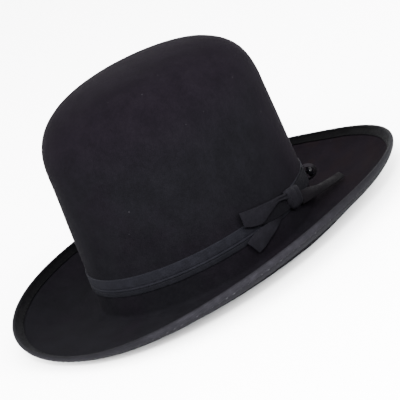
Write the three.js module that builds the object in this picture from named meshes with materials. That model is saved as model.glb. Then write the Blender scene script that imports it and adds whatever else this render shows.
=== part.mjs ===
// Open-crown felt hat with a bound, upward curled brim, a ribbon band and a side bow.
// Millimetres, +Z up. The front is -Y and the wearer's left, where the bow sits, is +X.
// The hat rests on the flat ring of its brim's underside, at z = 0, and the brim's outline is centred on the origin.
import * as THREE from 'three';

// Felt
const FELT_THICKNESS = 2.2;
const BOUND_FELT_THICKNESS = 1.6;
const SEGMENTS = 60;

// Crown, measured on the middle of the felt
const CROWN_HALF_LENGTH = 100.8;
const CROWN_HALF_WIDTH = 86.7;
const CROWN_CENTRE_Y = -5.3;
const CROWN_HEIGHT = 165.4;
const SHOULDER_HEIGHT = 105.9;
const SHOULDER_LENGTH_SHARE = 0.947;
const SHOULDER_WIDTH_SHARE = 0.979;
const CROWN_LEAN = 5.6;
const DOME_LEAN_SHARE = 0.5;
const DOME_SQUARENESS = 2.87;

// Where the crown turns into the brim
const BREAK_RADIUS = 8;
const RESTING_RING_WIDTH = 10;

// Brim edge, measured on the middle of the felt
const BRIM_HALF_LENGTH = 170.4;
const BRIM_HALF_WIDTH = 146.5;
const BRIM_SQUARENESS = 2.33;
const EDGE_HEIGHT = 19.65;
const EDGE_WAVES = [
  { turns: 2, rise: 6.23, wave: Math.cos },
  { turns: 1, rise: 2.44, wave: Math.sin },
  { turns: 1, rise: 0.37, wave: Math.cos },
  { turns: 3, rise: -1.36, wave: Math.sin },
  { turns: 3, rise: -0.41, wave: Math.cos },
  { turns: 4, rise: -0.66, wave: Math.cos },
];
const CURL_ANGLE = 77.8;
const CURL_ANGLE_SWING = 10.3;
const CURL_START_PULL = 0.93;
const CURL_END_PULL = 0.5;

// Ribbon
const CLEARANCE = 0.3;
const BINDING_THICKNESS = 0.8;
const BINDING_WIDTH = 8;
const BAND_TOP = 34.6;
const BAND_WIDTH = 10.3;
const BAND_THICKNESS = 0.6;
const UNDER_PLY_WIDTH = 3.7;

// Bow. Distances along the band are counted from the knot's middle, positive to the back.
const KNOT_ANGLE = 13.5;
const BOW_RADIUS = 99;
const WING_LIFT = { inner: 3.6, outer: 5.8 };
const FRONT_WING = [
  { along: -11.9, low: 21.5, high: 35.8 },
  { along: -22, low: 22.7, high: 37.6 },
  { along: -33, low: 25, high: 40 },
  { along: -44, low: 28.2, high: 42.3 },
  { along: -56.5, low: 33.7, high: 44.9 },
];
const REAR_WING = [
  { along: 9.3, low: 21.2, high: 34.2 },
  { along: 20, low: 20.8, high: 34.8 },
  { along: 31, low: 21.4, high: 35.2 },
  { along: 41, low: 22.6, high: 35 },
];
const REAR_WING_LIFT = { inner: 2.3, outer: 3.6 };
const TAIL_LIFT = { inner: 2.3, outer: 3.3 };
const FRONT_TAIL = [
  { along: -11.9, low: 24, high: 31 },
  { along: -27.5, low: 19.1, high: 30 },
  { along: -43, low: 15.2, high: 27.6 },
  { along: -56.6, low: 10.9, high: 23.3, slant: 6.4 },
];
const TAIL_WIDTH = 11.5;
const TAIL_THICKNESS = 1;
const REAR_TAIL = [
  { x: 86.9, y: 29.6, z: 15.5, twist: 0 },
  { x: 85.9, y: 40, z: 13.8, twist: 14 },
  { x: 84.3, y: 51, z: 12.3, twist: 36 },
  { x: 82, y: 63, z: 10.9, twist: 60 },
  { x: 80, y: 77, z: 9.2, twist: 73 },
  { x: 78.8, y: 91.1, z: 7.8, twist: 80 },
];
const REAR_TAIL_STEPS = 20;
const KNOT_BACK_LIFT = 2.3;
const KNOT_CORNER_SHARE = 0.3;
const KNOT = [
  { along: -11.6, low: 27.5, high: 35.6, lift: 5.2 },
  { along: -8.5, low: 20.5, high: 36.6, lift: 7.4 },
  { along: -3, low: 18.6, high: 36.4, lift: 8.6 },
  { along: 3, low: 18, high: 35.2, lift: 8.6 },
  { along: 7, low: 18.4, high: 33.4, lift: 7.6 },
  { along: 9, low: 20, high: 31.6, lift: 5.4 },
];

// Button behind the bow, and the loop that stands round it
const BUTTON_ANGLE = 44.5;
const BUTTON_HEIGHT = 25;
const BUTTON_RADIUS = 4.2;
const BUTTON_DEPTH = 5;
const SHANK_RADIUS = 1.3;
const SHANK_LENGTH = 1.2;
const BUTTON_SIDES = 16;
const LOOP_REACH = 8.6;
const LOOP_HALF_HEIGHT = 7.1;
const LOOP_THICKNESS = 1.2;
const LOOP_WIDTH = 3.4;
const LOOP_CURVE_STEPS = 14;

const HALF_FELT = FELT_THICKNESS / 2;
const HALF_BOUND_FELT = BOUND_FELT_THICKNESS / 2;
const BREAK_TOP = HALF_FELT + BREAK_RADIUS;
const BAND_INNER_LIFT = HALF_FELT + CLEARANCE;
const BAND_OUTER_LIFT = BAND_INNER_LIFT + BAND_THICKNESS;
const UP = new THREE.Vector3(0, 0, 1);
const radians = THREE.MathUtils.degToRad;

const felt = new THREE.MeshStandardMaterial({ color: 0x24222a, roughness: 0.95, metalness: 0 });
const ribbon = new THREE.MeshStandardMaterial({ color: 0x2f3038, roughness: 0.7, metalness: 0 });
const buttonBlack = new THREE.MeshStandardMaterial({ color: 0x08080a, roughness: 0.12, metalness: 0 });

// Crown: a straight leaning wall up to the shoulder, and a squarish dome above it

function crownOval(share, leanShare, z, angle) {
  return new THREE.Vector3(
    CROWN_HALF_WIDTH * share.width * Math.cos(angle),
    CROWN_CENTRE_Y + CROWN_LEAN * leanShare + CROWN_HALF_LENGTH * share.length * Math.sin(angle),
    z,
  );
}

function wall(drop, angle) {
  const z = SHOULDER_HEIGHT - drop;
  const climb = z / SHOULDER_HEIGHT;
  const share = {
    width: 1 + (SHOULDER_WIDTH_SHARE - 1) * climb,
    length: 1 + (SHOULDER_LENGTH_SHARE - 1) * climb,
  };
  return crownOval(share, climb, z, angle);
}

function dome(tilt, angle) {
  const spread = Math.sin(radians(tilt)) ** (2 / DOME_SQUARENESS);
  const rise = Math.cos(radians(tilt)) ** (2 / DOME_SQUARENESS);
  const z = SHOULDER_HEIGHT + (CROWN_HEIGHT - HALF_FELT - SHOULDER_HEIGHT) * rise;
  const share = { width: SHOULDER_WIDTH_SHARE * spread, length: SHOULDER_LENGTH_SHARE * spread };
  return crownOval(share, 1 + (z / SHOULDER_HEIGHT - 1) * DOME_LEAN_SHARE, z, angle);
}

// Brim: a rounded break, a flat ring to rest on, and a curl up to the edge

function edge(angle) {
  const c = Math.cos(angle);
  const s = Math.sin(angle);
  const reach = (Math.abs(c) ** BRIM_SQUARENESS + Math.abs(s) ** BRIM_SQUARENESS) ** (-1 / BRIM_SQUARENESS);
  const rise = EDGE_WAVES.reduce((sum, row) => sum + row.rise * row.wave(row.turns * angle), EDGE_HEIGHT);
  return new THREE.Vector3(BRIM_HALF_WIDTH * reach * c, BRIM_HALF_LENGTH * reach * s, rise);
}

function brimAt(outward, z, angle) {
  const start = wall(SHOULDER_HEIGHT - BREAK_TOP, angle);
  const heading = edge(angle).sub(start).setZ(0).normalize();
  return start.addScaledVector(heading, outward).setZ(z);
}

function crownBreak(turn, angle) {
  const outward = BREAK_RADIUS * (1 - Math.cos(radians(turn)));
  return brimAt(outward, HALF_FELT + BREAK_RADIUS * (1 - Math.sin(radians(turn))), angle);
}

function curl(share, angle) {
  const end = edge(angle);
  const start = wall(SHOULDER_HEIGHT - BREAK_TOP, angle);
  const flat = BREAK_RADIUS + RESTING_RING_WIDTH;
  const run = Math.hypot(end.x - start.x, end.y - start.y) - flat;
  const climb = end.z - HALF_FELT;
  const finalAngle = radians(CURL_ANGLE + CURL_ANGLE_SWING * Math.cos(2 * angle));
  const startPull = share ** 3 - 2 * share ** 2 + share;
  const endWeight = 3 * share ** 2 - 2 * share ** 3;
  const endPull = (share ** 3 - share ** 2) * CURL_END_PULL * run;
  const outward = flat + startPull * CURL_START_PULL * run + endWeight * run + endPull * Math.cos(finalAngle);
  return brimAt(outward, HALF_FELT + endWeight * climb + endPull * Math.sin(finalAngle), angle);
}

// The share of the curl that lies a given distance back from the edge, along the felt
function curlShareAt(distance, angle) {
  const steps = 160;
  let walked = 0;
  let last = curl(1, angle);
  for (let step = steps - 1; step >= 0; step -= 1) {
    const next = curl(step / steps, angle);
    const stride = next.distanceTo(last);
    if (walked + stride >= distance) {
      return (step + 1 - (distance - walked) / stride) / steps;
    }
    walked += stride;
    last = next;
  }
  return 0;
}

// Each surface runs from the crown's tip outwards, so this always points out of the felt's upper side
function normalOf(surface, value, angle) {
  const nudge = 1e-4;
  const along = surface(value + nudge, angle).sub(surface(value - nudge, angle));
  const around = surface(value, angle + nudge).sub(surface(value, angle - nudge));
  return along.cross(around).normalize();
}

function offsetRing(surface, valueAt, offset, fixedNormal = null) {
  return Array.from({ length: SEGMENTS }, (_, i) => {
    const angle = (2 * Math.PI * i) / SEGMENTS;
    const value = valueAt(angle);
    const normal = fixedNormal ?? normalOf(surface, value, angle);
    return surface(value, angle).addScaledVector(normal, offset);
  });
}

const DOME_TILTS = [4, 10, 19, 30, 42, 54, 66, 78];
const WALL_HEIGHTS = [SHOULDER_HEIGHT, 60, BAND_TOP, BREAK_TOP];
const BREAK_TURNS = [30, 60];
const CURL_SHARES = [0.17, 0.34, 0.51, 0.68, 0.85];
const FULL_FELT_BACK = BINDING_WIDTH + 1.2;
const BOUND_FELT_BACKS = [BINDING_WIDTH + CLEARANCE, BINDING_WIDTH / 2, 0];

// The rows of the felt from the crown's tip to the brim's edge, each as a ring at a given side of its middle
const feltRows = [
  ...DOME_TILTS.map((tilt) => (side) => offsetRing(dome, () => tilt, side * HALF_FELT)),
  ...WALL_HEIGHTS.map((z) => (side) => offsetRing(wall, () => SHOULDER_HEIGHT - z, side * HALF_FELT)),
  ...BREAK_TURNS.map((turn) => (side) => offsetRing(crownBreak, () => turn, side * HALF_FELT)),
  (side) => offsetRing(crownBreak, () => 90, side * HALF_FELT, UP),
  (side) => offsetRing(curl, () => 0, side * HALF_FELT, UP),
  ...CURL_SHARES.map((share) => (side) => offsetRing(
    curl,
    (angle) => share * curlShareAt(FULL_FELT_BACK, angle),
    side * HALF_FELT,
  )),
  (side) => offsetRing(curl, (angle) => curlShareAt(FULL_FELT_BACK, angle), side * HALF_FELT),
  ...BOUND_FELT_BACKS.map((back) => (side) => offsetRing(
    curl,
    (angle) => curlShareAt(back, angle),
    side * HALF_BOUND_FELT,
  )),
];

// A ring round the brim's edge, turned from the upper side, at 0 degrees, to the underside, at 180
function edgeRing(turn, radius) {
  return Array.from({ length: SEGMENTS }, (_, i) => {
    const angle = (2 * Math.PI * i) / SEGMENTS;
    const end = curl(1, angle);
    const normal = normalOf(curl, 1, angle);
    const outward = end.clone().sub(curl(1 - 1e-4, angle)).normalize();
    return end
      .addScaledVector(normal, radius * Math.cos(radians(turn)))
      .addScaledVector(outward, radius * Math.sin(radians(turn)));
  });
}

// A closed body from rows of points. The rows close on themselves, or end in a tip or a flat end at each side.
// On a leaf the second half of each row is its other side, whose triangles are cut to match the first side's.
function bodyFromRows(rows, { looped = false, tips = null, leaf = false } = {}) {
  const count = rows[0].length;
  const points = rows.flat();
  const faces = [];
  const at = (row, i) => (row % rows.length) * count + (i % count);
  const spans = looped ? rows.length : rows.length - 1;
  for (let row = 0; row < spans; row += 1) {
    for (let i = 0; i < count; i += 1) {
      const [a, b, c, d] = [at(row, i), at(row + 1, i), at(row + 1, i + 1), at(row, i + 1)];
      faces.push(...(leaf && i >= count / 2 ? [[a, b, d], [b, c, d]] : [[a, b, c], [a, c, d]]));
    }
  }
  if (!looped) {
    const ends = tips ?? [middleOf(rows[0]), middleOf(rows.at(-1))];
    points.push(...ends);
    const first = points.length - 2;
    for (let i = 0; i < count; i += 1) {
      faces.push([first, at(0, i), at(0, i + 1)], [first + 1, at(rows.length - 1, i + 1), at(rows.length - 1, i)]);
    }
  }
  return facingOut(points, faces);
}

function middleOf(row) {
  return row.reduce((sum, point) => sum.add(point), new THREE.Vector3()).divideScalar(row.length);
}

function facingOut(points, faces) {
  const volume = faces.reduce((sum, [a, b, c]) => sum + points[a].dot(points[b].clone().cross(points[c])), 0);
  const ordered = volume < 0 ? faces.map(([a, b, c]) => [a, c, b]) : faces;
  const geometry = new THREE.BufferGeometry().setFromPoints(points);
  geometry.setIndex(ordered.flat());
  geometry.computeVertexNormals();
  return geometry;
}

function piece(name, geometry, material) {
  const mesh = new THREE.Mesh(geometry, material);
  mesh.name = name;
  return mesh;
}

function makeFelt() {
  const tip = dome(0, 0);
  const rows = [
    ...feltRows.map((row) => row(1)),
    edgeRing(60, HALF_BOUND_FELT),
    edgeRing(120, HALF_BOUND_FELT),
    ...feltRows.map((row) => row(-1)).reverse(),
  ];
  const tips = [tip.clone().addScaledVector(UP, HALF_FELT), tip.clone().addScaledVector(UP, -HALF_FELT)];
  return piece('felt_body', bodyFromRows(rows, { tips }), felt);
}

// The binding: a ribbon folded over the edge, its inside clear of the felt all round
function makeBinding() {
  const inner = HALF_BOUND_FELT + CLEARANCE;
  const outer = inner + BINDING_THICKNESS;
  const backs = [BINDING_WIDTH, BINDING_WIDTH / 2, 0];
  const leaf = (offset) => backs.map((back) => offsetRing(curl, (angle) => curlShareAt(back, angle), offset));
  const rows = [
    ...leaf(outer),
    ...[45, 90, 135].map((turn) => edgeRing(turn, outer)),
    ...leaf(-outer).reverse(),
    ...leaf(-inner),
    ...[120, 60].map((turn) => edgeRing(turn, inner)),
    ...leaf(inner).reverse(),
  ];
  return piece('brim_binding', bodyFromRows(rows, { looped: true }), ribbon);
}

// A ribbon round the crown, between two heights
function makeBandPly(name, low, high) {
  const ring = (z, lift) => offsetRing(wall, () => SHOULDER_HEIGHT - z, lift);
  const rows = [
    ring(low, BAND_INNER_LIFT),
    ring(low, BAND_OUTER_LIFT),
    ring(high, BAND_OUTER_LIFT),
    ring(high, BAND_INNER_LIFT),
  ];
  return piece(name, bodyFromRows(rows, { looped: true }), ribbon);
}

// A point above the crown's wall: a distance along the band from the knot, a height and a lift off the felt's middle
function onBand(along, z, lift) {
  const angle = radians(KNOT_ANGLE) + along / BOW_RADIUS;
  const drop = SHOULDER_HEIGHT - z;
  return wall(drop, angle).addScaledVector(normalOf(wall, drop, angle), lift);
}

// A flat piece of the bow, lying along the crown through a table of stations
function makeLeaf(name, stations, lift) {
  const rows = stations.map(({ along, low, high, slant = 0 }) => {
    const lowAlong = along + slant / 2;
    const highAlong = along - slant / 2;
    const middle = (low + high) / 2;
    return [
      onBand(lowAlong, low, lift.inner),
      onBand(lowAlong, low, lift.outer),
      onBand(along, middle, lift.outer),
      onBand(highAlong, high, lift.outer),
      onBand(highAlong, high, lift.inner),
      onBand(along, middle, lift.inner),
    ];
  });
  return piece(name, bodyFromRows(rows, { leaf: true }), ribbon);
}

// A station of the rear tail, read between the rows of its table
function rearTailAt(share) {
  const place = share * (REAR_TAIL.length - 1);
  const row = Math.min(Math.floor(place), REAR_TAIL.length - 2);
  const read = (key) => THREE.MathUtils.lerp(REAR_TAIL[row][key], REAR_TAIL[row + 1][key], place - row);
  return { x: read('x'), y: read('y'), z: read('z'), twist: read('twist') };
}

// The rear tail leaves the crown and turns from upright to nearly flat above the brim
function makeRearTail() {
  const rows = Array.from({ length: REAR_TAIL_STEPS + 1 }, (_, step) => {
    const { x, y, z, twist } = rearTailAt(step / REAR_TAIL_STEPS);
    const lowEdge = new THREE.Vector3(x, y, z);
    const across = new THREE.Vector3(-Math.sin(radians(twist)), 0, Math.cos(radians(twist)));
    const through = new THREE.Vector3(-Math.cos(radians(twist)), 0, -Math.sin(radians(twist)));
    const highEdge = lowEdge.clone().addScaledVector(across, TAIL_WIDTH);
    return [
      lowEdge,
      highEdge,
      highEdge.clone().addScaledVector(through, TAIL_THICKNESS),
      lowEdge.clone().addScaledVector(through, TAIL_THICKNESS),
    ];
  });
  return piece('bow_tail_rear', bodyFromRows(rows, { leaf: true }), ribbon);
}

// The knot: a rounded wrap over the middle of the bow
function makeKnot() {
  const rows = KNOT.map(({ along, low, high, lift }) => {
    const depth = lift - KNOT_BACK_LIFT;
    const corner = (high - low) * KNOT_CORNER_SHARE;
    const outline = [
      [low, KNOT_BACK_LIFT],
      [low, KNOT_BACK_LIFT + depth * 0.45],
      [low + corner * 0.4, KNOT_BACK_LIFT + depth * 0.8],
      [low + corner, lift],
      [high - corner, lift],
      [high - corner * 0.4, KNOT_BACK_LIFT + depth * 0.8],
      [high, KNOT_BACK_LIFT + depth * 0.45],
      [high, KNOT_BACK_LIFT],
    ];
    return outline.map(([z, away]) => onBand(along, z, away));
  });
  return piece('bow_knot', bodyFromRows(rows), ribbon);
}

// A frame on the band at the button: x away from the crown, y along the band, z up the wall
function buttonFrame() {
  const angle = radians(BUTTON_ANGLE);
  const drop = SHOULDER_HEIGHT - BUTTON_HEIGHT;
  const away = normalOf(wall, drop, angle);
  const along = new THREE.Vector3().crossVectors(UP, away).normalize();
  const upwards = new THREE.Vector3().crossVectors(away, along);
  const frame = new THREE.Group();
  frame.position.copy(wall(drop, angle).addScaledVector(away, BAND_OUTER_LIFT + CLEARANCE));
  frame.quaternion.setFromRotationMatrix(new THREE.Matrix4().makeBasis(away, along, upwards));
  return frame;
}

// A domed button on a short shank, turned about the line away from the crown
function makeButton() {
  const profile = [
    [0, 0],
    [SHANK_RADIUS, 0],
    [SHANK_RADIUS, SHANK_LENGTH],
    [BUTTON_RADIUS * 0.82, SHANK_LENGTH + BUTTON_DEPTH * 0.1],
    [BUTTON_RADIUS, SHANK_LENGTH + BUTTON_DEPTH * 0.34],
    [BUTTON_RADIUS * 0.93, SHANK_LENGTH + BUTTON_DEPTH * 0.6],
    [BUTTON_RADIUS * 0.7, SHANK_LENGTH + BUTTON_DEPTH * 0.83],
    [BUTTON_RADIUS * 0.37, SHANK_LENGTH + BUTTON_DEPTH * 0.96],
    [0, SHANK_LENGTH + BUTTON_DEPTH],
  ].map(([radius, depth]) => new THREE.Vector2(radius, depth));
  const button = piece('band_button', new THREE.LatheGeometry(profile, BUTTON_SIDES), buttonBlack);
  button.rotation.z = -Math.PI / 2;
  return button;
}

// A narrow loop of ribbon that stands off the band round the button
function makeButtonLoop() {
  const outline = new THREE.Shape();
  outline.moveTo(0, -LOOP_HALF_HEIGHT);
  outline.absellipse(0, 0, LOOP_REACH, LOOP_HALF_HEIGHT, -Math.PI / 2, Math.PI / 2, false);
  outline.lineTo(0, LOOP_HALF_HEIGHT - LOOP_THICKNESS);
  outline.absellipse(
    0, 0, LOOP_REACH - LOOP_THICKNESS, LOOP_HALF_HEIGHT - LOOP_THICKNESS, Math.PI / 2, -Math.PI / 2, true,
  );
  const geometry = new THREE.ExtrudeGeometry(outline, {
    depth: LOOP_WIDTH, bevelEnabled: false, curveSegments: LOOP_CURVE_STEPS,
  });
  const loop = piece('button_loop', geometry, ribbon);
  loop.rotation.x = Math.PI / 2;
  loop.position.y = LOOP_WIDTH / 2;
  return loop;
}

const bow = new THREE.Group();
bow.add(
  makeKnot(),
  makeLeaf('bow_wing_front', FRONT_WING, WING_LIFT),
  makeLeaf('bow_wing_rear', REAR_WING, REAR_WING_LIFT),
  makeLeaf('bow_tail_front', FRONT_TAIL, TAIL_LIFT),
  makeRearTail(),
);

const fastening = buttonFrame();
fastening.add(makeButton(), makeButtonLoop());

const bandBottom = BAND_TOP - BAND_WIDTH;
const underPlyTop = bandBottom - CLEARANCE;

const hat = new THREE.Group();
hat.add(
  makeFelt(),
  makeBinding(),
  makeBandPly('hat_band', bandBottom, BAND_TOP),
  makeBandPly('band_under_ply', underPlyTop - UNDER_PLY_WIDTH, underPlyTop),
  bow,
  fastening,
);

export default hat;
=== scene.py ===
"""An open-crown felt hat with a bound, upward curled brim, a ribbon band, a side bow and a button.

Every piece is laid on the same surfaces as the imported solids: Z is up, the front is -Y, and the wearer's
left, where the bow sits, is +X. Shapes are worked out in millimetres and written to the meshes in metres.
"""

from math import atan2, cos, pi, radians, sin

import bmesh
import bpy
import numpy as np
from bpy.props import FloatProperty, FloatVectorProperty, IntProperty, PointerProperty
from bpy.types import Operator, Panel, PropertyGroup
from mathutils import Matrix, Vector, noise


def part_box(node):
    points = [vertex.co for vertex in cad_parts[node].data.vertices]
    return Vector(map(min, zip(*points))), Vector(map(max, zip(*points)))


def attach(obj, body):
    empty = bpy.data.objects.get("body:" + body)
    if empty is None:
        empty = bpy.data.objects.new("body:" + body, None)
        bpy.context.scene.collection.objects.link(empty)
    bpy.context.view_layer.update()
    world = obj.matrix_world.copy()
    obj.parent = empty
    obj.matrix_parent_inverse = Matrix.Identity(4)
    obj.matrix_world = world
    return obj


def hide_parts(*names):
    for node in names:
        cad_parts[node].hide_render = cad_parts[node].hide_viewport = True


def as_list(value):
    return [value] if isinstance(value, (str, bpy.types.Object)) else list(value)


bl_info = {
    "name": "Felt Hat",
    "version": (1, 0, 0),
    "blender": (4, 5, 0),
    "location": "View3D > Sidebar > Felt Hat",
    "description": "Makes an open-crown felt hat with a bound brim, a ribbon band, a bow and a button",
    "category": "Add Mesh",
}

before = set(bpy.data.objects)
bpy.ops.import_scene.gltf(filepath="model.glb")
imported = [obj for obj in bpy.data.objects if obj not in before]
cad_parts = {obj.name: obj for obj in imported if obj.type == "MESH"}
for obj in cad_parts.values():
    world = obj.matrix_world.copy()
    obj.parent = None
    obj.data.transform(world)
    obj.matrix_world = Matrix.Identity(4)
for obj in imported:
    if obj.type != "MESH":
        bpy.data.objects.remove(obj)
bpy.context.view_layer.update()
BODY = "root"
MM = 0.001
MERGE_DISTANCE = 1e-6
# Small steps over a surface and round the brim, for measuring directions
NUDGE = 1e-4
TURN_NUDGE = 1e-3
# The ribbons' own coordinates, and the attribute for painted shade: how much darker a place is painted
RIBBON_UV = "ribbon"
SHADE_ATTRIBUTE = "painted_shade"

# Crown, measured on the middle of the felt, in millimetres
CROWN_HALF_LENGTH = 100.8
CROWN_HALF_WIDTH = 86.7
CROWN_CENTRE_Y = -5.3
CROWN_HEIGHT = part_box("felt_body")[1].z / MM
SHOULDER_HEIGHT = 105.9
SHOULDER_LENGTH_SHARE = 0.947
SHOULDER_WIDTH_SHARE = 0.979
CROWN_LEAN = 5.6
DOME_LEAN_SHARE = 0.5
DOME_SQUARENESS = 2.87

# Where the crown turns into the brim
BREAK_RADIUS = 4.5
RESTING_RING_WIDTH = 13.5

# Brim edge, measured on the middle of the felt
BRIM_HALF_LENGTH = 170.4
BRIM_HALF_WIDTH = 146.5
BRIM_SQUARENESS = 2.33
EDGE_HEIGHT = 19.65
EDGE_WAVES = (
    (2, 6.23, np.cos),
    (1, 2.44, np.sin),
    (1, 0.37, np.cos),
    (3, -1.36, np.sin),
    (3, -0.41, np.cos),
    (4, -0.66, np.cos),
)
CURL_ANGLE = 77.8
CURL_ANGLE_SWING = 10.3
CURL_START_PULL = 0.93
CURL_END_PULL = 0.5
CURL_STEPS = 160

# Rings of the felt: tilts of the dome, turns of the break, and shares of the curl before its bound edge
DOME_TILTS = np.linspace(3, 87, 29)
BREAK_TURNS = (15, 30, 45, 60, 75)
CURL_SHARES = np.linspace(0.06, 1, 18)
# Distances before the binding at which the felt starts to thin and is thin
FULL_MARGIN = 1.2
THIN_MARGIN = 0.3
# Rings of the felt under the binding, as shares of its width, and turns of the rim
BOUND_SHARES = (0.6, 0.3, 0)
RIM_TURNS = (45, 90, 135)
# Soft swellings of the felt: weight, wavelength and seed of each noise
FELT_SWELLS = ((1.0, 42.0, 3.0), (0.4, 17.0, 11.0))
# Where the swellings grow and fade: shares of the curl, heights on the wall, tilts of the dome
CURL_SWELLS_GROW = (0.12, 0.35)
CURL_SWELLS_FADE = (0.6, 0.8)
WALL_SWELLS_GROW = (40.0, 62.0)
DOME_SWELLS_GROW = (0.0, 20.0)
# The gap between the felt and a ribbon that lies on it
SEAT_GAP = 0.06

# Binding: shares of its width, for the leaf on the brim's upper side (1) and the one on its lower side (-1)
LEAF_SHARE = {1: 1.0, -1: 1.4}
STITCH_SHARE = {1: 0.85, -1: 0.26}
# The share of the folded ribbon at which the upper leaf ends
LEAF_END = 0.45
# How much darker the lower leaf is painted beyond its stitches, and the share over which that starts
LOWER_LEAF_DARKENING = 0.3
LOWER_DARKENING_START = 0.02
# Where the binding is painted darker, along Y: from, to, and how much darker
DARKER_TO_BACK = (-100.0, 30.0, 0.5)
DARKER_AT_FRONT_TIP = (-140.0, -170.0, 0.25)
# How the binding's free edges wander: height, wavelength and seed of each noise
BINDING_WANDER = ((0.35, 23.0, 5.0), (0.2, 7.0, 8.0))
# The groove along the stitches, as shares of the binding's width and thickness, and the pucker at each stitch
GROOVE_REACH = 0.07
GROOVE_DEPTH = 0.25
PUCKER_HEIGHT = 0.07
# Where the binding starts to thin towards its free edges, as a share of its width, and how much it thins
SELVAGE_START = 0.96
SELVAGE_THINNING = 0.65
# A stitch's half length, half width and half height, and how far it sinks in
STITCH_HALF_SIZES = (1.3, 0.36, 0.32)
STITCH_SINK = 0.12

# Band
BAND_LOW = 24.3
BAND_HIGH = 34.6
UNDER_PLY_LOW = 20.3
UNDER_PLY_HIGH = 24.2
# Sections of the two plies, from their low edge up: share of the width, share of the thickness
BAND_SECTION = (
    (0.00, 0.55),
    (0.02, 0.90),
    (0.06, 1.10),
    (0.12, 1.05),
    (0.165, 0.75),
    (0.19, 0.45),
    (0.215, 0.75),
    (0.26, 1.00),
    (0.40, 1.03),
    (0.55, 1.05),
    (0.70, 1.03),
    (0.85, 1.00),
    (0.94, 1.00),
    (0.98, 0.90),
    (1.00, 0.55),
)
UNDER_PLY_SECTION = (
    (0.00, 0.50),
    (0.05, 0.85),
    (0.15, 1.00),
    (0.35, 1.00),
    (0.55, 0.95),
    (0.75, 0.90),
    (1.00, 0.80),
)
# How far each ply ripples
BAND_RIPPLE = 0.08
UNDER_PLY_RIPPLE = 0.28

# Bow. Distances along the band are counted from the knot's middle, positive to the back.
KNOT_ANGLE = radians(13.5)
BOW_RADIUS = 99.0
# Rows of a wing: distance along the band, low edge, high edge, lift off the felt's middle
FRONT_WING = (
    (-6.5, 29.0, 34.6, 4.3),
    (-11.9, 31.0, 35.9, 4.9),
    (-17.0, 32.8, 37.0, 5.5),
    (-22.6, 34.3, 38.3, 5.5),
    (-29.0, 33.2, 39.5, 5.5),
    (-35.9, 31.2, 40.8, 5.4),
    (-43.0, 28.7, 42.2, 5.3),
    (-52.0, 30.9, 44.2, 5.5),
    (-57.0, 33.4, 45.3, 5.3),
    (-58.2, 33.8, 45.5, 4.7),
    (-57.4, 33.2, 45.2, 3.9),
    (-52.0, 30.2, 43.8, 3.6),
    (-43.0, 27.2, 41.6, 3.4),
    (-33.0, 25.0, 39.4, 3.4),
    (-22.0, 23.5, 37.0, 3.3),
    (-11.9, 22.8, 35.4, 3.3),
    (-6.5, 23.0, 34.6, 3.3),
)
REAR_WING = (
    (5.0, 22.4, 33.0, 3.7),
    (9.3, 23.6, 34.2, 3.8),
    (20.0, 23.4, 34.8, 4.0),
    (31.0, 22.4, 35.2, 3.9),
    (38.6, 22.6, 35.1, 3.7),
    (40.4, 22.7, 35.0, 3.2),
    (38.6, 22.4, 35.1, 2.7),
    (31.0, 22.6, 35.0, 2.5),
    (20.0, 23.6, 34.6, 2.5),
    (9.3, 23.8, 34.0, 2.5),
    (5.0, 22.4, 33.0, 2.7),
)
# Gathers of a wing's front ply beside the knot: how many, how deep, and where they start to fade and end
GATHER_COUNT = 1.5
GATHER_DEPTH = 0.35
GATHER_PHASE = 0.6
GATHER_FADE = 14.0
GATHER_REACH = 30.0
WING_PUFF = 0.35
# Half the lift over which a wing's front ply passes into its back ply
PLY_PASSAGE = 0.4
# Where a wing is painted darker beside the knot, as painted shade, and how much
WING_SHADE_REACH = (12.0, 30.0)
WING_SHADE = 0.6
# Rows of the front tail: distance along, low edge, high edge, lift, slant of the cut
FRONT_TAIL = (
    (-12.0, 24.6, 29.0, 2.45, 0.0),
    (-18.0, 23.2, 27.6, 2.45, 0.0),
    (-22.0, 21.9, 26.6, 2.5, 0.0),
    (-26.4, 20.3, 26.1, 2.7, 0.0),
    (-31.0, 18.3, 25.9, 3.0, 0.0),
    (-36.5, 16.5, 25.9, 3.2, 0.8),
    (-43.0, 14.6, 26.2, 3.4, 2.2),
    (-50.0, 12.3, 25.6, 3.5, 4.4),
    (-57.9, 10.6, 22.5, 3.5, 6.4),
)
# Where the front tail is free of the wing and how far it is cupped, and where and how much painted shade it
# gets towards the knot, under the wing
FRONT_TAIL_FREE = (-42.0, -26.0)
FRONT_TAIL_CUP = 0.45
FRONT_TAIL_SHADE_REACH = (-36.0, -22.0)
FRONT_TAIL_SHADE = 0.9
# Rows of the rear tail: its low edge's place, the twist of its width in degrees, and the slant of the cut
REAR_TAIL = (
    (86.4, 26.0, 17.0, 0.0, 0.0),
    (86.9, 30.0, 16.4, 0.0, 0.0),
    (85.9, 40.0, 14.8, 14.0, 0.0),
    (84.3, 51.0, 13.2, 36.0, 0.0),
    (82.0, 63.0, 11.3, 60.0, 1.0),
    (80.0, 77.0, 9.3, 75.0, 3.2),
    (78.8, 91.0, 7.8, 83.0, 6.4),
)
# Where and how far the rear tail is folded lengthwise, and how it is cupped
REAR_TAIL_FOLD_Y = 58.0
REAR_TAIL_FOLD_REACH = 17.0
REAR_TAIL_FOLD_DEPTH = 1.6
REAR_TAIL_NARROWING = 0.2
REAR_TAIL_CUP = 0.45
REAR_TAIL_LIFT = 0.5
# How much painted shade the rear tail gets at the knot and at its cut
REAR_TAIL_SHADE = (0.4, 1.1)
KNOT_BACK_LIFT = 2.3
# Rows of the knot: distance along, low edge, high edge, lift
KNOT = (
    (-11.8, 27.0, 36.0, 4.6),
    (-10.2, 23.0, 36.6, 5.8),
    (-8.0, 20.6, 36.6, 6.6),
    (-3.0, 19.4, 36.0, 7.0),
    (2.0, 19.0, 34.9, 6.8),
    (6.0, 19.2, 33.6, 6.2),
    (8.2, 20.2, 32.2, 5.0),
)
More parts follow.
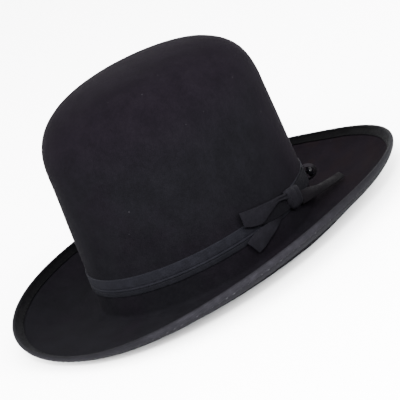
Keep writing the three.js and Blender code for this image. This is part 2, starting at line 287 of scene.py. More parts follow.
# Pleats of the knot: distance along, half width, height
KNOT_PLEATS = (
    (-10.4, 0.9, 0.6),
    (-7.8, 1.2, -0.5),
    (-4.6, 1.3, 0.25),
    (-0.8, 1.4, -0.35),
    (3.2, 1.2, 0.35),
    (6.0, 0.9, -0.2),
)
KNOT_PLEAT_SLANT = -0.12
KNOT_MIDDLE_HEIGHT = 27.0
# The knot's columns as shares of a half turn, and how rounded its sides and its front are
KNOT_COLUMNS = np.linspace(0.02, 0.98, 29)
KNOT_SIDE_ROUNDING = 0.75
KNOT_FRONT_ROUNDING = 0.5
KNOT_SINK = 0.3
# How much painted shade darkens the whole knot
KNOT_SHADE = 0.35

# Button behind the bow, and the loop that stands round it
BUTTON_ANGLE = radians(44.5)
BUTTON_HEIGHT = 25.0
BUTTON_SEAT_LIFT = 2.3
SHANK_RADIUS = 1.3
SHANK_LENGTH = 1.2
SHANK_SINK = 0.3
# Shares of the button's depth at which its rounded side starts to fall and its dome starts to rise
BUTTON_SIDE_LOW = 0.28
BUTTON_SIDE_HIGH = 0.56
# Turns of the button's outline, from under its side to its tip, and how rounded it is
BUTTON_TURNS = np.linspace(-60, 90, 21)
BUTTON_ROUNDING = 0.85
LOOP_REACH = 8.0
LOOP_HALF_HEIGHT = 5.8
LOOP_FLARE = radians(40)
LOOP_THICKNESS = 0.0009
# How much lighter than the rear tail's shaded colour the loop's colour is
LOOP_LIGHTNESS = 1.5
# The turns between which the loop passes from painted shade below to its lighter top, where the light falls
LOOP_SHADE_REACH = (15.0, 50.0)

# Finishes. Where the felt turns plum up the crown and to its back, and warm down the brim and to its back.
# The plum up the crown is also a little darker: painted shade that tones down the light on the crown's top
PLUM_HEIGHTS = (0.085, 0.150)
PLUM_BACK = (-0.01, 0.07)
WARM_HEIGHTS = (0.030, 0.016)
WARM_BACK = (0.03, 0.11)
LINT_COLOUR = (0.007, 0.0065, 0.0075)
# Tints of the soft light on the felt's nap and on the ribbons
NAP_TINT = (0.86, 0.80, 0.92)
RIBBON_TINT = (0.85, 0.87, 1.0)

# Camera and stage, in metres
CAMERA_AIM = (0.00845, 0.00196, 0.04321)
CAMERA_FAR_CLIP = 60.0
FLOOR_HALF_SIZE = 14.0
LIT_HEIGHT = 0.07
WORLD_STRENGTH = 8.6


# Surfaces of the felt's middle. Each takes a value along the felt and an angle round the crown.


def crown_oval(width_share, length_share, lean_share, z, angle):
    """A point on a level oval of the crown."""
    x = CROWN_HALF_WIDTH * width_share * np.cos(angle)
    y = CROWN_CENTRE_Y + CROWN_LEAN * lean_share + CROWN_HALF_LENGTH * length_share * np.sin(angle)
    return np.stack(np.broadcast_arrays(x, y, z), axis=-1)


def wall(drop, angle):
    """The crown's leaning wall, a drop below the shoulder."""
    z = SHOULDER_HEIGHT - drop
    climb = z / SHOULDER_HEIGHT
    width_share = 1 + (SHOULDER_WIDTH_SHARE - 1) * climb
    length_share = 1 + (SHOULDER_LENGTH_SHARE - 1) * climb
    return crown_oval(width_share, length_share, climb, z, angle)


def dome(tilt, angle):
    """The squarish dome, a tilt in degrees from its tip."""
    spread = np.sin(np.radians(tilt)) ** (2 / DOME_SQUARENESS)
    rise = np.cos(np.radians(tilt)) ** (2 / DOME_SQUARENESS)
    dome_top = CROWN_HEIGHT - felt_settings().thickness / MM / 2
    z = SHOULDER_HEIGHT + (dome_top - SHOULDER_HEIGHT) * rise
    lean = 1 + (z / SHOULDER_HEIGHT - 1) * DOME_LEAN_SHARE
    return crown_oval(SHOULDER_WIDTH_SHARE * spread, SHOULDER_LENGTH_SHARE * spread, lean, z, angle)


def edge(angle):
    """The brim's edge."""
    c = np.cos(angle)
    s = np.sin(angle)
    reach = (np.abs(c) ** BRIM_SQUARENESS + np.abs(s) ** BRIM_SQUARENESS) ** (-1 / BRIM_SQUARENESS)
    rise = EDGE_HEIGHT + sum(height * wave(turns * angle) for turns, height, wave in EDGE_WAVES)
    return np.stack([BRIM_HALF_WIDTH * reach * c, BRIM_HALF_LENGTH * reach * s, rise], axis=-1)


def break_top():
    """The height at which the crown's wall starts to turn into the brim."""
    return felt_settings().thickness / MM / 2 + BREAK_RADIUS


def brim_at(outward, z, angle):
    """A point a distance outward from the wall's foot, towards the edge."""
    start = wall(SHOULDER_HEIGHT - break_top(), angle)
    heading = (edge(angle) - start)[..., :2]
    heading = heading / np.linalg.norm(heading, axis=-1, keepdims=True)
    place = start[..., :2] + np.asarray(outward)[..., None] * heading
    z = np.broadcast_to(z, place.shape[:-1])
    return np.concatenate([place, z[..., None]], axis=-1)


def crown_break(turn, angle):
    """The rounded turn from the wall into the brim."""
    outward = BREAK_RADIUS * (1 - np.cos(np.radians(turn))) + 0 * angle
    return brim_at(outward, break_top() - BREAK_RADIUS * np.sin(np.radians(turn)), angle)


def curl(share, angle):
    """The brim from its flat ring out to its edge."""
    end = edge(angle)
    start = wall(SHOULDER_HEIGHT - break_top(), angle)
    flat = BREAK_RADIUS + RESTING_RING_WIDTH
    run = np.hypot(end[..., 0] - start[..., 0], end[..., 1] - start[..., 1]) - flat
    ring_height = break_top() - BREAK_RADIUS
    final_angle = np.radians(CURL_ANGLE + CURL_ANGLE_SWING * np.cos(2 * angle))
    start_pull = share**3 - 2 * share**2 + share
    end_weight = 3 * share**2 - 2 * share**3
    end_pull = (share**3 - share**2) * CURL_END_PULL * run
    outward = flat + start_pull * CURL_START_PULL * run + end_weight * run + end_pull * np.cos(final_angle)
    z = ring_height + end_weight * (end[..., 2] - ring_height) + end_pull * np.sin(final_angle)
    return brim_at(outward, z, angle)


def curl_share_at(distance, angles):
    """The share of the curl that lies a distance back from the edge, along the felt, at each angle."""
    shares = np.linspace(1, 0, CURL_STEPS + 1)
    points = curl(shares[:, None], angles[None, :])
    strides = np.linalg.norm(np.diff(points, axis=0), axis=-1)
    walked = np.vstack([np.zeros(len(angles)), np.cumsum(strides, axis=0)])
    distances = np.broadcast_to(distance, angles.shape)
    return np.array([np.interp(d, walked[:, i], shares) for i, d in enumerate(distances)])


def normal_of(surface, value, angle):
    """The direction out of the felt's upper side."""
    along = surface(value + NUDGE, angle) - surface(value - NUDGE, angle)
    around = surface(value, angle + NUDGE) - surface(value, angle - NUDGE)
    normal = np.cross(along, around)
    return normal / np.linalg.norm(normal, axis=-1, keepdims=True)


def on_band(along, z, lift):
    """A point off the crown's wall, from a distance along the band, a height and a lift."""
    along, z, lift = np.broadcast_arrays(*(np.asarray(v, float) for v in (along, z, lift)))
    angle = KNOT_ANGLE + along / BOW_RADIUS
    drop = SHOULDER_HEIGHT - z
    return wall(drop, angle) + lift[..., None] * normal_of(wall, drop, angle)


def smoothstep(low, high, value):
    """0 below low, 1 above high, and a smooth climb between them."""
    share = np.clip((value - low) / (high - low), 0, 1)
    return share * share * (3 - 2 * share)


def smooth_table(table, count):
    """Read a table at evenly spaced places, on a smooth curve through its rows."""
    rows = np.array(table, float)
    padded = np.vstack([2 * rows[0] - rows[1], rows, 2 * rows[-1] - rows[-2]])
    places = np.linspace(0, len(rows) - 1, count)
    start = np.minimum(places.astype(int), len(rows) - 2)
    t = (places - start)[:, None]
    a, b, c, d = (padded[start + step] for step in range(4))
    return 0.5 * (2 * b + (c - a) * t + (2 * a - 5 * b + 4 * c - d) * t**2 + (3 * b - a - 3 * c + d) * t**3)


def smooth_noise(points, wavelength, seed):
    """Soft noise from -1 to 1 at each point, given in millimetres."""
    flat = points.reshape(-1, 3) / wavelength
    values = [noise.noise(Vector(p) + Vector((seed, 0, 0))) for p in flat]
    return np.array(values).reshape(points.shape[:-1])


# Meshes


def spun_rings(row_count, steps):
    """A flat ring of faces with one ring of vertices for each row, made by spinning a line about Z."""
    bm = bmesh.new()
    vertex = bm.verts.new((1, 0, 0))
    for _ in range(row_count - 1):
        vertex = bmesh.ops.extrude_vert_indiv(bm, verts=[vertex])["verts"][0]
        bmesh.ops.translate(bm, verts=[vertex], vec=(1, 0, 0))
    line = bm.verts[:] + bm.edges[:]
    bmesh.ops.spin(
        bm, geom=line, cent=(0, 0, 0), axis=(0, 0, 1), angle=2 * pi, steps=steps, use_merge=True
    )
    return bm


def ring_body(rows, lengths=None, across=None, painted_shade=None):
    """A body from rings of points. Lengths round the ring and across it become ribbon coordinates."""
    steps = len(rows[0])
    bm = spun_rings(len(rows), steps)
    shade_paint = bm.verts.layers.float.new(SHADE_ATTRIBUTE)
    where = {}
    for vertex in bm.verts:
        turn = atan2(vertex.co.y, vertex.co.x) / (2 * pi)
        where[vertex] = (round(vertex.co.xy.length) - 1, round(turn * steps) % steps)
    if lengths is not None:
        layer = bm.loops.layers.uv.new(RIBBON_UV)
        for face in bm.faces:
            turns = [where[loop.vert][1] for loop in face.loops]
            crosses_start = max(turns) - min(turns) > 1
            for loop, turn in zip(face.loops, turns):
                column = steps if crosses_start and turn == 0 else turn
                loop[layer].uv = (lengths[column], across[where[loop.vert][0]])
    for vertex, (row, turn) in where.items():
        vertex.co = rows[row][turn] * MM
        vertex[shade_paint] = 0.0 if painted_shade is None else painted_shade[row, turn]
    bmesh.ops.remove_doubles(bm, verts=bm.verts, dist=MERGE_DISTANCE)
    bmesh.ops.recalc_face_normals(bm, faces=bm.faces)
    return bm


def ring_lengths(points):
    """The length walked round a ring of points, in metres, with one more value for the way back."""
    strides = np.linalg.norm(np.roll(points, -1, axis=0) - points, axis=-1)
    return np.concatenate([[0], np.cumsum(strides)]) * MM


def strip_body(places, painted_shade=None):
    """A ribbon: a grid moved to rows of points, from end to end, with how much painted shade each row gets.
    """
    rows, columns = places.shape[:2]
    bm = bmesh.new()
    bmesh.ops.create_grid(bm, x_segments=rows - 1, y_segments=columns - 1, size=0.5)
    layer = bm.loops.layers.uv.new(RIBBON_UV)
    shade_paint = bm.verts.layers.float.new(SHADE_ATTRIBUTE)
    middle = places[:, columns // 2]
    strides = np.linalg.norm(np.diff(middle, axis=0), axis=-1)
    walked = np.concatenate([[0], np.cumsum(strides)]) * MM
    where = {
        vertex: (round((vertex.co.x + 0.5) * (rows - 1)), round((vertex.co.y + 0.5) * (columns - 1)))
        for vertex in bm.verts
    }
    for face in bm.faces:
        for loop in face.loops:
            row, column = where[loop.vert]
            loop[layer].uv = (walked[row], column / (columns - 1))
    for vertex, (row, column) in where.items():
        vertex.co = places[row, column] * MM
        vertex[shade_paint] = 0.0 if painted_shade is None else painted_shade[row]
    bmesh.ops.recalc_face_normals(bm, faces=bm.faces)
    return bm


def finished_piece(name, bm, material, node=None):
    """Turn a bmesh into an object of the hat that rides on its body."""
    mesh = bpy.data.meshes.new(name)
    bm.to_mesh(mesh)
    bm.free()
    mesh.polygons.foreach_set("use_smooth", [True] * len(mesh.polygons))
    mesh.materials.append(material)
    piece = bpy.data.objects.new(name, mesh)
    bpy.context.scene.collection.objects.link(piece)
    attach(piece, BODY)
    if node:
        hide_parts(node)
    return piece


def give_thickness(piece, thickness):
    """Thicken a ribbon evenly to both sides, and round its edges a little."""
    solidify = piece.modifiers.new("ribbon thickness", "SOLIDIFY")
    solidify.thickness = thickness
    solidify.offset = 0
    solidify.use_even_offset = True
    soften = piece.modifiers.new("soft edges", "SUBSURF")
    soften.levels = 1
    soften.render_levels = 1


# Settings


class FeltSettings(PropertyGroup):
    thickness: FloatProperty(
        name="Thickness",
        description="Thickness of the felt",
        default=0.0022,
        min=0.001,
        max=0.004,
        subtype="DISTANCE",
        unit="LENGTH",
    )
    bound_thickness: FloatProperty(
        name="Bound Thickness",
        description="Thickness of the felt where the binding grips it",
        default=0.0016,
        min=0.0008,
        max=0.004,
        subtype="DISTANCE",
        unit="LENGTH",
    )
    unevenness: FloatProperty(
        name="Unevenness",
        description="How far the blocked felt wanders from its true shape",
        default=0.0005,
        min=0,
        max=0.003,
        subtype="DISTANCE",
        unit="LENGTH",
    )
    steps: IntProperty(
        name="Steps Round", description="Number of faces round the crown", default=180, min=60, max=240
    )
    colour: FloatVectorProperty(
        name="Felt Colour",
        description="The main colour of the felt",
        subtype="COLOR",
        default=(0.00146, 0.00141, 0.00175),
        min=0,
        max=1,
    )
    # Plum is a little darker than the felt's main colour: up the crown it also serves as painted shade on the
    # top
    plum_colour: FloatVectorProperty(
        name="Plum Mottling",
        description="The colour of the faded, plum-tinted patches of the crown",
        subtype="COLOR",
        default=(0.00160, 0.00124, 0.00180),
        min=0,
        max=1,
    )
    warm_colour: FloatVectorProperty(
        name="Warm Mottling",
        description="The colour of the browner felt of the brim",
        subtype="COLOR",
        default=(0.00182, 0.00130, 0.00162),
        min=0,
        max=1,
    )
    sheen: FloatProperty(
        name="Nap Sheen", description="Strength of the soft light on the nap", default=0.0016, min=0, max=1
    )


class RibbonSettings(PropertyGroup):
    binding_width: FloatProperty(
        name="Binding Width",
        description="Width of the binding on each side of the brim",
        default=0.008,
        min=0.004,
        max=0.015,
        subtype="DISTANCE",
        unit="LENGTH",
    )
    binding_thickness: FloatProperty(
        name="Binding Thickness",
        description="Thickness of the folded binding on each side of the felt",
        default=0.0009,
        min=0.0004,
        max=0.002,
        subtype="DISTANCE",
        unit="LENGTH",
    )
    band_thickness: FloatProperty(
        name="Band Thickness",
        description="Thickness of the ribbon round the crown",
        default=0.0008,
        min=0.0003,
        max=0.002,
        subtype="DISTANCE",
        unit="LENGTH",
    )
    rib_pitch: FloatProperty(
        name="Rib Pitch",
        description="Distance from one woven rib to the next",
        default=0.0009,
        min=0.0004,
        max=0.003,
        subtype="DISTANCE",
        unit="LENGTH",
    )
    stitch_pitch: FloatProperty(
        name="Stitch Pitch",
        description="Distance from one stitch of the binding to the next",
        default=0.006,
        min=0.002,
        max=0.02,
        subtype="DISTANCE",
        unit="LENGTH",
    )
    binding_colour: FloatVectorProperty(
        name="Binding Colour",
        description="Colour of the worn binding",
        subtype="COLOR",
        default=(0.0044, 0.0042, 0.0051),
        min=0,
        max=1,
    )
    band_colour: FloatVectorProperty(
        name="Band Colour",
        description="Colour of the ribbon round the crown",
        subtype="COLOR",
        default=(0.0025, 0.0025, 0.00325),
        min=0,
        max=1,
    )
    under_ply_colour: FloatVectorProperty(
        name="Under Ply Colour",
        description="Colour of the darker ribbon under the band",
        subtype="COLOR",
        default=(0.0018, 0.0018, 0.0023),
        min=0,
        max=1,
    )
    thread_colour: FloatVectorProperty(
        name="Thread Colour",
        description="Colour of the stitches",
        subtype="COLOR",
        default=(0.016, 0.016, 0.018),
        min=0,
        max=1,
    )


class BowSettings(PropertyGroup):
    ply_thickness: FloatProperty(
        name="Ply Thickness",
        description="Thickness of the bow's ribbon",
        default=0.0006,
        min=0.0003,
        max=0.0015,
        subtype="DISTANCE",
        unit="LENGTH",
    )
    tail_width: FloatProperty(
        name="Tail Width",
        description="Width of the ribbon of the rear tail",
        default=0.0104,
        min=0.01,
        max=0.02,
        subtype="DISTANCE",
        unit="LENGTH",
    )
    colour: FloatVectorProperty(
        name="Bow Colour",
        description="Colour of the bow's ribbon",
        subtype="COLOR",
        default=(0.00235, 0.00222, 0.00285),
        min=0,
        max=1,
    )
    # A darker, warmer copy of the bow's colour: painted shade on the rear tail, with a painted warm
    # reflection of the felt beneath it; the loop's colour starts from it too
    shaded_colour: FloatVectorProperty(
        name="Shaded Bow Colour",
        description="Colour of the rear tail, which lies over the browner felt",
        subtype="COLOR",
        default=(0.00235, 0.0021, 0.0025),
        min=0,
        max=1,
    )


class ButtonSettings(PropertyGroup):
    radius: FloatProperty(
        name="Button Radius",
        description="Radius of the domed button",
        default=0.0042,
        min=0.002,
        max=0.01,
        subtype="DISTANCE",
        unit="LENGTH",
    )
    depth: FloatProperty(
        name="Button Depth",
        description="Depth of the button above its shank",
        default=0.005,
        min=0.001,
        max=0.01,
        subtype="DISTANCE",
        unit="LENGTH",
    )
    loop_width: FloatProperty(
        name="Loop Width",
        description="Width of the narrow ribbon that stands round the button",
        default=0.0034,
        min=0.001,
        max=0.01,
        subtype="DISTANCE",
        unit="LENGTH",
    )
    colour: FloatVectorProperty(
        name="Button Colour",
        description="Colour of the glossy button",
        subtype="COLOR",
        default=(0.0006, 0.0006, 0.0008),
        min=0,
        max=1,
    )


class StageSettings(PropertyGroup):
    azimuth: FloatProperty(
        name="Azimuth",
        description="Camera's turn round the hat, from the front towards the wearer's left",
        default=radians(47.732),
        subtype="ANGLE",
        unit="ROTATION",
    )
    elevation: FloatProperty(
        name="Elevation",
        description="Camera's height as an angle above the level",
        default=radians(16.375),
        subtype="ANGLE",
        unit="ROTATION",
    )
    roll: FloatProperty(
        name="Roll",
        description="Camera's roll, which tilts the hat in the picture",
        default=radians(25.414),
        subtype="ANGLE",
        unit="ROTATION",
    )
    distance: FloatProperty(
        name="Distance",
        description="Camera's distance from the point it looks at",
        default=1.15703,
        subtype="DISTANCE",
        unit="LENGTH",
    )
    lens: FloatProperty(
        name="Lens",
        description="Camera's focal length",
        default=131.976,
        subtype="DISTANCE_CAMERA",
        unit="CAMERA",
    )
    floor_colour: FloatVectorProperty(
        name="Floor Colour",
        description="Colour of the pale floor",
        subtype="COLOR",
        default=(0.93, 0.93, 0.935),
        min=0,
        max=1,
    )
    light: FloatProperty(
        name="Light", description="Overall strength of the studio light", default=1.0, min=0, max=10
    )


class HatSettings(PropertyGroup):
    felt: PointerProperty(type=FeltSettings, name="Felt", description="The felt of crown and brim")
    ribbon: PointerProperty(type=RibbonSettings, name="Ribbon", description="The binding and the band")
    bow: PointerProperty(type=BowSettings, name="Bow", description="The side bow")
    button: PointerProperty(type=ButtonSettings, name="Button", description="The button behind the bow")
    stage: PointerProperty(type=StageSettings, name="Stage", description="The camera, floor and light")


def hat_settings():
    return bpy.context.scene.felt_hat


def felt_settings():
    return hat_settings().felt


# Materials


class MaterialMaker:
    """Adds nodes to a new material and joins them."""

    def __init__(self, name):
        self.material = bpy.data.materials.new(name)
        self.material.use_nodes = True
        self.tree = self.material.node_tree
        self.shader = self.tree.nodes["Principled BSDF"]

    def node(self, kind, inputs=None, **settings):
        made = self.tree.nodes.new(kind)
        for name, value in settings.items():
            setattr(made, name, value)
        for name, value in (inputs or {}).items():
            self.feed(made.inputs[name], value)
        return made

    def feed(self, socket, value):
        if isinstance(value, bpy.types.NodeSocket):
            self.tree.links.new(value, socket)
        else:
            socket.default_value = value

    def set_shader(self, **values):
        for name, value in values.items():
            self.feed(self.shader.inputs[name.replace("_", " ")], value)

    def math(self, operation, *values):
        made = self.node("ShaderNodeMath", operation=operation)
        for socket, value in zip(made.inputs, values):
            self.feed(socket, value)
        return made.outputs[0]

    def remap(self, value, low, high, new_low=0.0, new_high=1.0):
        """A smooth climb from the new low to the new high while the value goes from low to high."""
        made = self.node(
            "ShaderNodeMapRange",
            {"Value": value, "From Min": low, "From Max": high, "To Min": new_low, "To Max": new_high},
            interpolation_type="SMOOTHSTEP",
        )
        return made.outputs["Result"]

    def mix(self, share, first, second, blend="MIX"):
        """Mix two colours, which the node takes at its inputs 6 and 7 and gives at its output 2."""
        made = self.node("ShaderNodeMix", data_type="RGBA", blend_type=blend)
        self.feed(made.inputs[0], share)
        self.feed(made.inputs[6], first)
        self.feed(made.inputs[7], second)
        return made.outputs[2]

    def noise(self, place, scale, detail=2.0, roughness=0.5):
        """Noise from 0 to 1, with about so many humps in a metre."""
        made = self.node(
            "ShaderNodeTexNoise",
            {"Vector": place, "Scale": scale, "Detail": detail, "Roughness": roughness},
        )
        return made.outputs["Fac"]

    def object_place(self):
        return self.node("ShaderNodeTexCoord").outputs["Object"]

    def ribbon_place(self):
        """The length along a ribbon in metres, and the share of its width."""
        uv = self.node("ShaderNodeUVMap", uv_map=RIBBON_UV).outputs["UV"]
        parts = self.node("ShaderNodeSeparateXYZ", {"Vector": uv})
        return parts.outputs["X"], parts.outputs["Y"]

    def bump(self, height, strength, distance):
        made = self.node("ShaderNodeBump", {"Height": height, "Strength": strength, "Distance": distance})
        self.feed(self.shader.inputs["Normal"], made.outputs["Normal"])


def opaque(colour, share=1.0):
    """A colour as four numbers, made lighter or darker by a share."""
    return (*(min(channel * share, 1.0) for channel in colour), 1.0)


def make_felt_material():
    settings = felt_settings()
    maker = MaterialMaker("fur felt")
    place = maker.object_place()
    parts = maker.node("ShaderNodeSeparateXYZ", {"Vector": place})
    clouds = maker.noise(place, scale=16.0, detail=5.0, roughness=0.62)
    patches = maker.remap(clouds, 0.44, 0.70, new_high=0.6)
    # Plum up the crown: a tint, and also painted shade that tones down the light on the crown's top
    up_the_crown = maker.remap(parts.outputs["Z"], *PLUM_HEIGHTS, new_high=0.9)
    towards_back = maker.remap(parts.outputs["Y"], *PLUM_BACK, new_high=0.9)
    plum = maker.math("MAXIMUM", patches, maker.math("MAXIMUM", up_the_crown, towards_back))
    base = maker.mix(plum, opaque(settings.colour), opaque(settings.plum_colour))
    on_brim = maker.remap(parts.outputs["Z"], *WARM_HEIGHTS)
    at_back = maker.remap(parts.outputs["Y"], *WARM_BACK)
    spots = maker.noise(place, scale=60.0, detail=3.0, roughness=0.6)
    warm_patches = maker.remap(spots, 0.45, 0.62, new_low=0.25)
    warm = maker.math("MULTIPLY", maker.math("MULTIPLY", on_brim, at_back), warm_patches)
    base = maker.mix(warm, base, opaque(settings.warm_colour))
    mottling = maker.noise(place, scale=48.0, detail=5.0, roughness=0.7)
    blotches = maker.remap(mottling, 0.34, 0.68, 0.88, 1.12)
    fibres = maker.noise(place, scale=1500.0, detail=3.0, roughness=0.7)
    nap = maker.noise(place, scale=340.0, detail=4.0, roughness=0.65)
    fine_grain = maker.remap(fibres, 0.3, 0.7, 0.88, 1.12)
    grain = maker.math("MULTIPLY", fine_grain, maker.remap(nap, 0.3, 0.7, 0.91, 1.09))
    shade = maker.math("MULTIPLY", blotches, grain)
    shade_colour = maker.node("ShaderNodeCombineXYZ", {"X": shade, "Y": shade, "Z": shade}).outputs[0]
    colour = maker.mix(1.0, base, shade_colour, "MULTIPLY")
    cells = maker.node("ShaderNodeTexVoronoi", {"Vector": place, "Scale": 170.0})
    close = maker.remap(cells.outputs["Distance"], 0.11, 0.05)
    cell_number = maker.node("ShaderNodeSeparateColor", {"Color": cells.outputs["Color"]}).outputs[0]
    chosen = maker.math("GREATER_THAN", cell_number, 0.96)
    lint = maker.math("MULTIPLY", close, chosen)
    colour = maker.mix(lint, colour, opaque(LINT_COLOUR))
    relief = maker.math("ADD", maker.math("MULTIPLY", nap, 0.6), maker.math("MULTIPLY", fibres, 0.4))
    maker.bump(relief, strength=0.55, distance=0.0005)
    maker.set_shader(
        Base_Color=colour,
        Roughness=maker.remap(nap, 0.3, 0.7, 0.86, 1.0),
        Specular_IOR_Level=0.0025,
        Sheen_Weight=settings.sheen,
        Sheen_Roughness=0.42,
        Sheen_Tint=opaque(NAP_TINT),
    )
    return maker.material


def make_ribbon_material(name, colour, wear, sheen, painted_shade_share=0.4, gloss=0.005):
    """Ribbed ribbon, with ribs across it, worn lighter in patches and at its edges, with painted shade in the
    grooves between its ribs and where the shade attribute asks for it.
    """
    pitch = hat_settings().ribbon.rib_pitch
    maker = MaterialMaker(name)
    along, across = maker.ribbon_place()
    place = maker.object_place()
    wave = maker.math("SINE", maker.math("MULTIPLY", along, 2 * pi / pitch))
    ribs = maker.remap(wave, -1.0, 1.0)
    threads = maker.noise(place, scale=2600.0, roughness=0.6)
    rubbing = maker.noise(place, scale=140.0, detail=5.0, roughness=0.7)
    lightened = maker.remap(rubbing, 0.40, 0.68)
    from_middle = maker.math("ABSOLUTE", maker.math("SUBTRACT", across, 0.5))
    selvage = maker.remap(from_middle, 0.42, 0.49)
    patches = maker.math("MULTIPLY", lightened, wear)
    lighter = maker.math("MAXIMUM", patches, maker.math("MULTIPLY", selvage, 0.1))
    worn = maker.mix(lighter, opaque(colour), opaque(colour, 1.7))
    shade_paint = maker.node("ShaderNodeAttribute", attribute_name=SHADE_ATTRIBUTE).outputs["Fac"]
    # Painted shade: where the attribute is full, the colour falls to its painted shade share
    base = maker.mix(shade_paint, worn, opaque(colour, painted_shade_share))
    # Painted shade in the grooves between the ribs, and threads that vary in tone at random
    shade = maker.math(
        "MULTIPLY", maker.remap(ribs, 0.0, 1.0, 0.72, 1.16), maker.remap(threads, 0.3, 0.7, 0.82, 1.18)
    )
    shade_colour = maker.node("ShaderNodeCombineXYZ", {"X": shade, "Y": shade, "Z": shade}).outputs[0]
    relief = maker.math("ADD", ribs, maker.math("MULTIPLY", threads, 0.35))
    maker.bump(relief, strength=0.6, distance=0.00018)
    maker.set_shader(
        Base_Color=maker.mix(1.0, base, shade_colour, "MULTIPLY"),
        Roughness=maker.remap(lightened, 0.0, 1.0, 0.62, 0.78),
        Specular_IOR_Level=gloss,
        Sheen_Weight=sheen,
        Sheen_Roughness=0.35,
        Sheen_Tint=opaque(RIBBON_TINT),
    )
    return maker.material


def make_thread_material():
    maker = MaterialMaker("binding thread")
    place = maker.object_place()
    twist = maker.noise(place, scale=3500.0, roughness=0.6)
    colour = hat_settings().ribbon.thread_colour
    maker.bump(twist, strength=0.5, distance=0.0001)
    wear = maker.noise(place, scale=120.0, detail=3.0, roughness=0.6)
    worn = maker.remap(wear, 0.42, 0.62)
    shade = maker.math("MULTIPLY", worn, maker.remap(twist, 0.35, 0.65, 0.6, 1.0))
    twisted = maker.mix(shade, opaque(colour, 0.35), opaque(colour, 1.0))
    # Painted shade: the stitches that the shade attribute marks are painted nearly black
    shade_paint = maker.node("ShaderNodeAttribute", attribute_name=SHADE_ATTRIBUTE).outputs["Fac"]
    maker.set_shader(
        Base_Color=maker.mix(shade_paint, twisted, opaque(colour, 0.05)),
        Roughness=0.7,
        Sheen_Weight=0.004,
        Specular_IOR_Level=0.01,
    )
    return maker.material


def make_button_material():
    maker = MaterialMaker("glossy black button")
    place = maker.object_place()
    colour = hat_settings().button.colour
    scuffing = maker.noise(place, scale=900.0, detail=4.0, roughness=0.7)
    scuffs = maker.remap(scuffing, 0.52, 0.75)
    maker.bump(maker.noise(place, scale=600.0), strength=0.02, distance=0.0001)
    maker.set_shader(
        Base_Color=maker.mix(scuffs, opaque(colour), opaque(colour, 2.5)),
        Roughness=maker.remap(scuffs, 0.0, 1.0, 0.03, 0.12),
        Specular_IOR_Level=0.034,
    )
    return maker.material


def make_floor_material():
    maker = MaterialMaker("pale floor")
    place = maker.object_place()
    colour = hat_settings().stage.floor_colour
    paper = maker.noise(place, scale=260.0, detail=3.0)
    maker.set_shader(
        Base_Color=maker.mix(paper, opaque(colour, 0.99), opaque(colour)),
        Roughness=0.9,
        Specular_IOR_Level=0.1,
    )
    return maker.material


# Operators


class HAT_OT_make_felt(Operator):
    """Make the crown and brim, one closed felt shell"""

    bl_idname = "hat.make_felt"
    bl_label = "Make Felt"
    bl_options = {"REGISTER", "UNDO"}

    def execute(self, context):
        settings = felt_settings()
        angles = np.arange(settings.steps) * 2 * pi / settings.steps
        half = settings.thickness / MM / 2
        half_bound = settings.bound_thickness / MM / 2
        upper, lower = self.sides(angles, half, half_bound)
        rim = self.rim(angles, half_bound)
        bm = ring_body([*upper, *rim, *reversed(lower)])
        finished_piece("felt_crown_and_brim", bm, make_felt_material(), "felt_body")
        return {"FINISHED"}

    def sides(self, angles, half, half_bound):
        """The rings of the upper and the lower side, from the crown's tip to the brim's edge."""
        settings = hat_settings()
        binding_width = settings.ribbon.binding_width / MM
        full_share = curl_share_at(binding_width + FULL_MARGIN, angles)
        rings = [(dome, np.full(len(angles), tilt), half) for tilt in DOME_TILTS]
        rings += [(wall, np.full(len(angles), drop), half) for drop in self.wall_drops()]
        rings += [(crown_break, np.full(len(angles), turn), half) for turn in BREAK_TURNS]
        rings += [(curl, np.zeros(len(angles)), half)]
        rings += [(curl, full_share * share, half) for share in CURL_SHARES]
        for back in (binding_width + THIN_MARGIN, *(binding_width * share for share in BOUND_SHARES)):
            rings.append((curl, curl_share_at(back, angles), half_bound))
        tip = dome(0.0, 0 * angles)
        up = np.array([0, 0, 1])
        upper = [tip + half * up]
        lower = [tip - half * up]
        for surface, value, offset in rings:
            middle = surface(value, angles)
            flat = surface is curl and not value.any()
            normal = np.broadcast_to(up, middle.shape) if flat else normal_of(surface, value, angles)
            middle = middle + self.unevenness(surface, value, middle)[:, None] * normal
            upper.append(middle + offset * normal)
            lower.append(middle - offset * normal)
        return upper, lower

    def wall_drops(self):
        """The drops of the wall's rings, closer together behind the ribbons."""
        heights = [105, 99, 92, 84, 76, 68, 60, 52, 45, 40, 37, BAND_HIGH, 31, 27.5]
        heights += [BAND_LOW, 22, UNDER_PLY_LOW, 17, 14, 11.5, break_top()]
        return [SHOULDER_HEIGHT - height for height in heights]

    def unevenness(self, surface, value, middle):
        """Soft hollows and swellings of blocked felt, away from the ribbons and the resting ring."""
        amount = felt_settings().unevenness / MM
        soft = sum(weight * smooth_noise(middle, wave, seed) for weight, wave, seed in FELT_SWELLS)
        if surface is curl:
            free = smoothstep(*CURL_SWELLS_GROW, value) * (1 - smoothstep(*CURL_SWELLS_FADE, value))
        else:
            free = smoothstep(*WALL_SWELLS_GROW, middle[:, 2])
        if surface is dome:
            free = free * smoothstep(*DOME_SWELLS_GROW, value)
        return amount * soft * free

    def rim(self, angles, half_bound):
        """The rounded rim of the edge, from the upper side to the lower one."""
        value = np.ones(len(angles))
        end = curl(value, angles)
        normal = normal_of(curl, value, angles)
        outward = edge_heading(angles)
        turns = np.radians(RIM_TURNS)
        return [end + half_bound * (np.cos(turn) * normal + np.sin(turn) * outward) for turn in turns]


def edge_heading(angles):
    """The direction in which the felt runs out over its edge."""
    heading = curl(np.ones(len(angles)), angles) - curl(np.full(len(angles), 1 - NUDGE), angles)
    return heading / np.linalg.norm(heading, axis=-1, keepdims=True)


